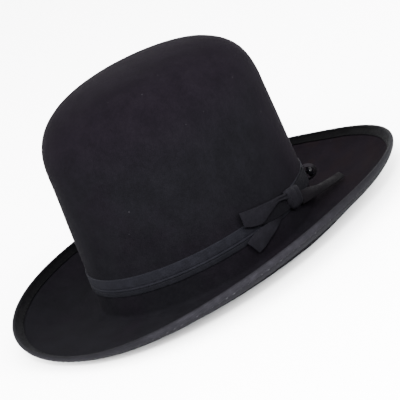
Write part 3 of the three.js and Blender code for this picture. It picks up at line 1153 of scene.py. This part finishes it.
class HAT_OT_bind_brim(Operator):
    """Fold the binding ribbon over the brim's edge and stitch it"""

    bl_idname = "hat.bind_brim"
    bl_label = "Bind Brim"
    bl_options = {"REGISTER", "UNDO"}
    steps = 720

    def execute(self, context):
        settings = hat_settings().ribbon
        angles = np.arange(self.steps) * 2 * pi / self.steps
        width = settings.binding_width / MM
        inner = felt_settings().bound_thickness / MM / 2 + SEAT_GAP
        outer = inner + settings.binding_thickness / MM
        lengths = ring_lengths(edge(angles))
        rows, across = self.section(angles, width, inner, outer, lengths)
        # Painted shade on the upper leaf, which faces in towards the crown; the lower leaf is painted darker
        # beyond its stitches, and all of it darker towards the back and at the front tip
        stitched = 1 - LEAF_END * (1 - STITCH_SHARE[-1])
        upper_leaf = 1 - smoothstep(LEAF_END, 1 - LEAF_END, np.array(across))
        shade_starts = smoothstep(stitched, stitched + LOWER_DARKENING_START, np.array(across))
        past_stitches = LOWER_LEAF_DARKENING * shade_starts
        painted_shade = 1 - np.outer(1 - upper_leaf - past_stitches, self.lightened(angles))
        bm = ring_body(rows, lengths, across, painted_shade)
        material = make_ribbon_material(
            "binding ribbon", settings.binding_colour, wear=0.75, sheen=0.004, painted_shade_share=0.14
        )
        binding = finished_piece("edge_binding", bm, material, "brim_binding")
        self.stitch(angles, width, outer, lengths)
        return {"FINISHED"}

    def lightened(self, angles):
        """How light the binding is kept at each angle: most at the front, less towards the back and at the
        front tip.
        """
        y = edge(angles)[:, 1]
        lightened = np.ones(len(angles))
        for start, end, loss in (DARKER_TO_BACK, DARKER_AT_FRONT_TIP):
            lightened = lightened * (1 - loss * smoothstep(start, end, y))
        return lightened

    def section(self, angles, width, inner, outer, lengths):
        """The rings of the folded ribbon: out over the upper leaf, round the edge, back under and inside."""
        wander = sum(height * smooth_noise(edge(angles), wave, seed) for height, wave, seed in BINDING_WANDER)
        pitch = hat_settings().ribbon.stitch_pitch
        pucker = PUCKER_HEIGHT * np.cos(2 * pi * lengths[:-1] / pitch)

        def leaf(side, backs, inside=False):
            rings = []
            for back in backs:
                value = curl_share_at(back * (width * LEAF_SHARE[side] + wander), angles)
                at_stitch = np.exp(-(((back - STITCH_SHARE[side]) / GROOVE_REACH) ** 2))
                at_selvage = smoothstep(SELVAGE_START, 1.0, back)
                fullness = (1 - GROOVE_DEPTH * at_stitch) * (1 - SELVAGE_THINNING * at_selvage)
                lift = inner + (outer - inner) * fullness + at_stitch * pucker
                rings.append(self.leaf_ring(value, angles, side * (inner if inside else lift)))
            return rings

        upper_backs = [1.0, 0.985, 0.95, 0.91, 0.88, 0.85, 0.82, 0.78, 0.7, 0.5, 0.3, 0.15, 0.0]
        lower_backs = [0.0, 0.07, 0.14, 0.19, 0.23, 0.26, 0.29, 0.33, 0.41, 0.6, 0.8, 0.95, 0.985, 1.0]
        inside_backs = [1.0, 0.5, 0.0]
        turns = (30, 60, 90, 120, 150)
        inside_turns = (120, 60)
        rows = [
            *leaf(1, upper_backs),
            *self.round_edge(angles, outer, turns),
            *leaf(-1, lower_backs),
            *leaf(-1, inside_backs, inside=True),
            *self.round_edge(angles, inner, inside_turns),
            *leaf(1, reversed(inside_backs), inside=True),
        ]
        across = [LEAF_END * (1 - back) for back in upper_backs]
        across += [LEAF_END + (1 - 2 * LEAF_END) * turn / 180 for turn in turns]
        across += [1 - LEAF_END * (1 - back) for back in lower_backs]
        across += [1 - LEAF_END * (1 - back) for back in inside_backs]
        across += [0.5] * len(inside_turns)
        across += [LEAF_END * (1 - back) for back in reversed(inside_backs)]
        return [*rows, rows[0]], [*across, 0.0]

    def leaf_ring(self, value, angles, lift):
        return curl(value, angles) + lift_column(lift, angles) * normal_of(curl, value, angles)

    def round_edge(self, angles, radius, turns):
        """Rings round the felt's edge, from the upper side to the lower one as the turns grow."""
        value = np.ones(len(angles))
        normal = normal_of(curl, value, angles)
        outward = edge_heading(angles)
        end = curl(value, angles)
        return [end + radius * (cos(radians(t)) * normal + sin(radians(t)) * outward) for t in turns]

    def stitch(self, angles, width, outer, lengths):
        """One small stitch for each pitch on both faces of the binding, near its free edges."""
        settings = hat_settings().ribbon
        count = round(lengths[-1] / settings.stitch_pitch)
        full_turn = np.append(angles, 2 * pi)
        stitch_angles = np.interp(np.arange(count) * lengths[-1] / count, lengths, full_turn)
        bm = bmesh.new()
        shade_paint = bm.verts.layers.float.new(SHADE_ATTRIBUTE)
        # Painted shade on the stitches of the upper leaf, as on the leaf; those on the lower leaf are painted
        # darker towards the back, as the binding is
        stitch_darkening = 1 - self.lightened(stitch_angles)
        for side in (1, -1):
            back = STITCH_SHARE[side] * LEAF_SHARE[side] * width
            value = curl_share_at(back, stitch_angles)
            middle = curl(value, stitch_angles)
            normal = normal_of(curl, value, stitch_angles)
            next_angles = stitch_angles + TURN_NUDGE
            ahead = curl(curl_share_at(back, next_angles), next_angles) - middle
            for i in range(count):
                through = Vector(normal[i]) * side
                run = Vector(ahead[i]).normalized()
                place = Vector(middle[i]) + through * (outer - STITCH_SINK)
                axes = Matrix((run, through.cross(run), through)).transposed().to_4x4()
                sizes = Matrix.Diagonal((*STITCH_HALF_SIZES, 1.0))
                spot = Matrix.Scale(MM, 4) @ Matrix.Translation(place) @ axes @ sizes
                made = bmesh.ops.create_uvsphere(bm, u_segments=6, v_segments=5, radius=1.0, matrix=spot)
                for vertex in made["verts"]:
                    vertex[shade_paint] = 1.0 if side > 0 else stitch_darkening[i]
        bmesh.ops.recalc_face_normals(bm, faces=bm.faces)
        finished_piece("binding_stitches", bm, make_thread_material())


def lift_column(lift, angles):
    """One lift for all angles, or one for each, as a column."""
    return np.broadcast_to(lift, angles.shape)[:, None]


class HAT_OT_put_on_band(Operator):
    """Put the ribbon band and the darker ply under it round the crown"""

    bl_idname = "hat.put_on_band"
    bl_label = "Put On Band"
    bl_options = {"REGISTER", "UNDO"}
    steps = 540

    def execute(self, context):
        settings = hat_settings().ribbon
        piece = self.ribbon_ring(
            "crown_band",
            "hat_band",
            BAND_SECTION,
            BAND_LOW,
            BAND_HIGH,
            BAND_RIPPLE,
            settings.band_colour,
        )
        length = float(ring_lengths(wall(SHOULDER_HEIGHT - BAND_LOW, self.angles()))[-1])
        self.ribbon_ring(
            "band_under_ribbon",
            "band_under_ply",
            UNDER_PLY_SECTION,
            UNDER_PLY_LOW,
            UNDER_PLY_HIGH,
            UNDER_PLY_RIPPLE,
            settings.under_ply_colour,
        )
        return {"FINISHED"}

    def angles(self):
        return np.arange(self.steps) * 2 * pi / self.steps

    def ribbon_ring(self, name, node, section, low, high, ripple, colour):
        """A ribbon ring with the given section: shares of its width and of its thickness."""
        angles = self.angles()
        seat = felt_settings().thickness / MM / 2 + SEAT_GAP
        thickness = hat_settings().ribbon.band_thickness / MM
        rows = []
        across = []
        for share, fullness in section:
            z = low + (high - low) * share
            rows.append(self.ring(z, seat + thickness * fullness, angles, ripple))
            across.append(share)
        for share in (1.0, 0.5, 0.0):
            rows.append(self.ring(low + (high - low) * share, seat, angles, 0.0))
            across.append(share)
        lengths = ring_lengths(wall(SHOULDER_HEIGHT - low, angles))
        bm = ring_body([*rows, rows[0]], lengths, [*across, 0.0])
        material = make_ribbon_material(name.replace("_", " "), colour, wear=0.45, sheen=0.003, gloss=0.004)
        return finished_piece(name, bm, material, node)

    def ring(self, z, lift, angles, ripple):
        drop = np.full(len(angles), SHOULDER_HEIGHT - z)
        middle = wall(drop, angles)
        long_waves = smooth_noise(middle * (1, 1, 0.4), wavelength=9.0, seed=2.0)
        short_waves = smooth_noise(middle, wavelength=4.0, seed=7.0)
        wobble = ripple * (long_waves + 0.5 * short_waves)
        return middle + (lift + wobble)[:, None] * normal_of(wall, drop, angles)


class HAT_OT_tie_bow(Operator):
    """Tie the bow: two wings, two tails and the pleated knot"""

    bl_idname = "hat.tie_bow"
    bl_label = "Tie Bow"
    bl_options = {"REGISTER", "UNDO"}
    width_steps = 25

    def execute(self, context):
        settings = hat_settings().bow
        self.material = make_ribbon_material(
            "bow ribbon", settings.colour, wear=0.5, sheen=0.003, painted_shade_share=0.55
        )
        # A shaded copy of the bow ribbon for the rear tail: painted shade and a painted warm reflection of
        # the felt, with less sheen and gloss
        self.shaded_material = make_ribbon_material(
            "shaded bow ribbon",
            settings.shaded_colour,
            wear=0.5,
            sheen=0.0014,
            painted_shade_share=0.5,
            gloss=0.004,
        )
        self.make_wing(
            "front_wing", "bow_wing_front", FRONT_WING, steps=96, gather_depth=GATHER_DEPTH, front_painted_shade=0.4
        )
        self.make_wing(
            "rear_wing", "bow_wing_rear", REAR_WING, steps=72, gather_depth=0.0, front_painted_shade=0.9
        )
        self.make_front_tail()
        self.make_rear_tail()
        self.make_knot()
        return {"FINISHED"}

    def ribbon(self, name, node, places, held, rests_on, painted_shade, material):
        """Make a ribbon piece from its grid of places."""
        bm = strip_body(places, painted_shade)
        piece = finished_piece(name, bm, material, node)
        give_thickness(piece, hat_settings().bow.ply_thickness)
        widths = np.linalg.norm(np.diff(places, axis=1), axis=-1).sum(axis=1)
        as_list(rests_on)
        return piece

    def make_wing(self, name, node, table, steps, gather_depth, front_painted_shade):
        """A flattened loop, from the knot out over its front ply and back along its back ply."""
        rows = smooth_table(table, steps)
        share = np.linspace(0, 1, self.width_steps)[None, :]
        along, low, high, lift = (rows[:, column][:, None] for column in range(4))
        z = low + (high - low) * share
        middle_lift = (lift.max() + lift.min()) / 2
        front = smoothstep(middle_lift - PLY_PASSAGE, middle_lift + PLY_PASSAGE, lift)
        gathered = (1 - smoothstep(GATHER_FADE, GATHER_REACH, np.abs(along))) * front
        waves = gather_depth * np.sin(2 * pi * GATHER_COUNT * share + GATHER_PHASE)
        puff = WING_PUFF * np.sin(pi * share) * front
        places = on_band(along + 0 * share, z, lift + puff + gathered * waves)
        # Painted shade: the back ply, under the front ply, is darkest, and the front ply is darker beside the
        # knot
        near_knot = 1 - smoothstep(*WING_SHADE_REACH, np.abs(along[:, 0]))
        painted_shade = 1.0 - front[:, 0] * (1 - front_painted_shade) * (1 - WING_SHADE * near_knot)
        self.ribbon(name, node, places, "folded", ["crown_band"], painted_shade, self.material)

    def make_front_tail(self):
        """The loose end that lies on the band under the front wing, with a slanted cut."""
        rows = smooth_table(FRONT_TAIL, count=48)
        share = np.linspace(0, 1, self.width_steps)[None, :]
        along, low, high, lift, slant = (rows[:, column][:, None] for column in range(5))
        run = along + slant * (0.5 - share)
        z = low + (high - low) * share
        free = 1 - smoothstep(*FRONT_TAIL_FREE, along)
        cupped = lift + FRONT_TAIL_CUP * np.sin(pi * share) * free
        # Painted shade towards the knot, where the tail lies under the wing
        painted_shade = FRONT_TAIL_SHADE * smoothstep(*FRONT_TAIL_SHADE_REACH, along[:, 0])
        places = on_band(run, z, cupped)
        self.ribbon("front_tail", "bow_tail_front", places, "laid", ["crown_band"], painted_shade, self.material)

    def make_rear_tail(self):
        """The loose end that leaves the knot on edge and turns flat over the brim."""
        width = hat_settings().bow.tail_width / MM
        rows = smooth_table(REAR_TAIL, count=64)
        twist = np.radians(rows[:, 3])[:, None, None]
        share = np.linspace(0, 1, self.width_steps)[None, :, None]
        zero = 0 * twist
        across = np.concatenate([-np.sin(twist), zero, np.cos(twist)], axis=-1)
        through = np.concatenate([-np.cos(twist), zero, -np.sin(twist)], axis=-1)
        folded = np.exp(-(((rows[:, 1] - REAR_TAIL_FOLD_Y) / REAR_TAIL_FOLD_REACH) ** 2))[:, None, None]
        cup = (REAR_TAIL_CUP + REAR_TAIL_FOLD_DEPTH * folded) * np.sin(pi * share)
        reach = width * (1 - REAR_TAIL_NARROWING * folded) * share
        places = rows[:, None, :3] + reach * across + (REAR_TAIL_LIFT - cup) * through
        places[:, :, 1] += rows[:, 4][:, None] * share[:, :, 0]
        # Painted shade, growing from the knot to the cut, on the darker, warmer shaded bow ribbon
        painted_shade = np.linspace(*REAR_TAIL_SHADE, len(places))
        material = self.shaded_material
        self.ribbon("rear_tail", "bow_tail_rear", places, "hung", ["crown_band"], painted_shade, material)

    def make_knot(self):
        """The wrap over the middle of the bow, drawn into pleats that run up and down."""
        rows = smooth_table(KNOT, count=56)
        turn = KNOT_COLUMNS[None, :] * pi
        along, low, high, lift = (rows[:, column][:, None] for column in range(4))
        sway = np.sign(np.cos(turn)) * np.abs(np.cos(turn)) ** KNOT_SIDE_ROUNDING
        z = (low + high) / 2 - (high - low) / 2 * sway
        fullness = np.sin(turn) ** KNOT_FRONT_ROUNDING
        away = KNOT_BACK_LIFT + (lift - KNOT_BACK_LIFT) * fullness
        leaning = along + KNOT_PLEAT_SLANT * (z - KNOT_MIDDLE_HEIGHT)
        for place, half_width, height in KNOT_PLEATS:
            away = away + height * fullness * np.exp(-(((leaning - place) / half_width) ** 2))
        places = on_band(along + 0 * turn, z, away - KNOT_SINK)
        # Painted shade over the whole knot
        bm = strip_body(places, np.full(len(places), KNOT_SHADE))
        piece = finished_piece("knot_wrap", bm, self.material, "bow_knot")
        give_thickness(piece, hat_settings().bow.ply_thickness)


class HAT_OT_sew_button(Operator):
    """Sew on the glossy button and the narrow loop that stands round it"""

    bl_idname = "hat.sew_button"
    bl_label = "Sew Button"
    bl_options = {"REGISTER", "UNDO"}

    def execute(self, context):
        seat = self.seat()
        self.make_button(seat)
        self.make_loop(seat)
        return {"FINISHED"}

    def seat(self):
        """A frame on the band at the button: X along the band, Y up the wall and Z away from the crown."""
        angle = np.array(BUTTON_ANGLE)
        drop = np.array(SHOULDER_HEIGHT - BUTTON_HEIGHT)
        away = Vector(normal_of(wall, drop, angle))
        along = Vector((0, 0, 1)).cross(away).normalized()
        upwards = away.cross(along)
        place = (Vector(wall(drop, angle)) + away * BUTTON_SEAT_LIFT) * MM
        return Matrix.Translation(place) @ Matrix((along, upwards, away)).transposed().to_4x4()

    def make_button(self, seat):
        settings = hat_settings().button
        radius = settings.radius
        depth = settings.depth
        foot = SHANK_LENGTH * MM
        sunk = -SHANK_SINK * MM
        profile = [(0, sunk), (SHANK_RADIUS * MM, sunk), (SHANK_RADIUS * MM, foot)]
        side_low = depth * BUTTON_SIDE_LOW
        side_high = depth * BUTTON_SIDE_HIGH
        for turn in np.radians(BUTTON_TURNS):
            height = side_low * (1 + sin(turn)) if turn < 0 else side_high + (depth - side_high) * sin(turn)
            profile.append((radius * max(cos(turn), 0) ** BUTTON_ROUNDING, foot + height))
        bm = bmesh.new()
        vertex = bm.verts.new((profile[0][0], 0, profile[0][1]))
        for reach, height in profile[1:]:
            vertex = bmesh.ops.extrude_vert_indiv(bm, verts=[vertex])["verts"][0]
            vertex.co = (reach, 0, height)
        line = bm.verts[:] + bm.edges[:]
        bmesh.ops.spin(bm, geom=line, cent=(0, 0, 0), axis=(0, 0, 1), angle=2 * pi, steps=40, use_merge=True)
        bmesh.ops.remove_doubles(bm, verts=bm.verts, dist=MERGE_DISTANCE)
        bmesh.ops.recalc_face_normals(bm, faces=bm.faces)
        bmesh.ops.transform(bm, matrix=seat, verts=bm.verts)
        finished_piece("glossy_button", bm, make_button_material(), "band_button")

    def make_loop(self, seat):
        """A narrow strip of ribbon bent round the button, from the band below it to the band above it."""
        width = hat_settings().button.loop_width / MM
        turn = np.radians(np.linspace(-90, 90, 41))[:, None]
        across = np.linspace(-0.5, 0.5, 7)[None, :] * width
        flared = across * sin(LOOP_FLARE)
        reach = (LOOP_REACH + flared) * np.cos(turn)
        height = (LOOP_HALF_HEIGHT + flared) * np.sin(turn)
        local = np.stack([across * cos(LOOP_FLARE) + 0 * turn, height, reach], axis=-1)
        place = np.array(seat.translation) / MM
        axes = np.array(seat.to_3x3())
        places = place + local @ axes.T
        loop_colour = opaque(hat_settings().bow.shaded_colour, LOOP_LIGHTNESS)[:3]
        material = make_ribbon_material("loop ribbon", loop_colour, wear=0.5, sheen=0.004, gloss=0.006)
        # Painted shade on the loop's lower half, fading out towards its top, where the light falls
        painted_shade = 1 - smoothstep(*LOOP_SHADE_REACH, np.degrees(turn[:, 0]))
        bm = strip_body(places, painted_shade)
        piece = finished_piece("button_ribbon_loop", bm, material, "button_loop")
        give_thickness(piece, LOOP_THICKNESS)


class HAT_OT_set_stage(Operator):
    """Set up the pale floor, the soft studio light and the camera"""

    bl_idname = "hat.set_stage"
    bl_label = "Set Stage"
    bl_options = {"REGISTER", "UNDO"}

    def execute(self, context):
        self.lay_floor()
        self.place_camera(context)
        self.hang_lights(context)
        return {"FINISHED"}

    def lay_floor(self):
        bm = bmesh.new()
        bmesh.ops.create_grid(bm, x_segments=8, y_segments=8, size=FLOOR_HALF_SIZE)
        mesh = bpy.data.meshes.new("floor")
        bm.to_mesh(mesh)
        bm.free()
        mesh.materials.append(make_floor_material())
        floor = bpy.data.objects.new("floor", mesh)
        bpy.context.scene.collection.objects.link(floor)

    def camera_axes(self):
        """The rolled camera's directions: to its right, up, and back from what it looks at."""
        settings = hat_settings().stage
        turn = settings.azimuth
        lift = settings.elevation
        back = Vector((sin(turn) * cos(lift), -cos(turn) * cos(lift), sin(lift)))
        level = Vector((cos(turn), sin(turn), 0))
        upright = back.cross(level)
        across = level * cos(settings.roll) - upright * sin(settings.roll)
        return across, back.cross(across), back

    def place_camera(self, context):
        settings = hat_settings().stage
        across, up, back = self.camera_axes()
        camera = bpy.data.cameras.new("camera")
        camera.lens = settings.lens
        camera.clip_end = CAMERA_FAR_CLIP
        viewer = bpy.data.objects.new("camera", camera)
        place = Vector(CAMERA_AIM) + back * settings.distance
        viewer.matrix_world = Matrix.Translation(place) @ Matrix((across, up, back)).transposed().to_4x4()
        context.scene.collection.objects.link(viewer)
        context.scene.camera = viewer

    def hang_lights(self, context):
        strength = hat_settings().stage.light
        across, up, back = self.camera_axes()
        middle = Vector((0, 0, LIT_HEIGHT))
        level_across = Vector((across.x, across.y, 0)).normalized()
        level_back = Vector((back.x, back.y, 0)).normalized()
        # Each light's name, its place from the hat's middle, its size in metres and its power in watts
        lights = (
            ("key", -level_across * 1.1 + level_back * 1.1 + Vector((0, 0, 1.1)), 1.6, 88.0),
            ("fill", level_across * 1.5 + level_back * 0.9 + Vector((0, 0, 0.9)), 1.4, 140.0),
            ("overhead", Vector((0, 0, 2.2)) - level_back * 0.5, 2.2, 35.0),
            ("glint", back * 1.3 + up * 0.35 - across * 0.2, 0.25, 60.0),
        )
        for name, offset, size, power in lights:
            lamp = bpy.data.lights.new(name, "AREA")
            lamp.shape = "SQUARE"
            lamp.size = size
            lamp.energy = power * strength
            holder = bpy.data.objects.new(name, lamp)
            facing = offset.to_track_quat("Z", "Y").to_matrix().to_4x4()
            holder.matrix_world = Matrix.Translation(middle + offset) @ facing
            context.scene.collection.objects.link(holder)
        world = bpy.data.worlds.new("studio")
        world.use_nodes = True
        surround = world.node_tree.nodes["Background"]
        surround.inputs["Color"].default_value = (1.0, 1.0, 1.0, 1.0)
        surround.inputs["Strength"].default_value = WORLD_STRENGTH * strength
        context.scene.world = world


class HAT_PT_sidebar(Panel):
    """Lists the hat's settings and its operators"""

    bl_idname = "HAT_PT_sidebar"
    bl_label = "Felt Hat"
    bl_space_type = "VIEW_3D"
    bl_region_type = "UI"
    bl_category = "Felt Hat"

    def draw(self, context):
        hat = context.scene.felt_hat
        for group, operators in (
            (hat.felt, ("hat.make_felt",)),
            (hat.ribbon, ("hat.bind_brim", "hat.put_on_band")),
            (hat.bow, ("hat.tie_bow",)),
            (hat.button, ("hat.sew_button",)),
            (hat.stage, ("hat.set_stage",)),
        ):
            box = self.layout.box()
            for name in group.__annotations__:
                box.prop(group, name)
            for operator in operators:
                box.operator(operator)


CLASSES = (
    FeltSettings,
    RibbonSettings,
    BowSettings,
    ButtonSettings,
    StageSettings,
    HatSettings,
    HAT_OT_make_felt,
    HAT_OT_bind_brim,
    HAT_OT_put_on_band,
    HAT_OT_tie_bow,
    HAT_OT_sew_button,
    HAT_OT_set_stage,
    HAT_PT_sidebar,
)


def register():
    for cls in CLASSES:
        bpy.utils.register_class(cls)
    bpy.types.Scene.felt_hat = PointerProperty(
        type=HatSettings, name="Felt Hat", description="Sizes and colours of the hat"
    )


def unregister():
    del bpy.types.Scene.felt_hat
    for cls in reversed(CLASSES):
        bpy.utils.unregister_class(cls)


def main():
    register()
    bpy.ops.hat.set_stage()
    bpy.ops.hat.make_felt()
    bpy.ops.hat.bind_brim()
    bpy.ops.hat.put_on_band()
    bpy.ops.hat.tie_bow()
    bpy.ops.hat.sew_button()


if __name__ == "__main__":
    main()
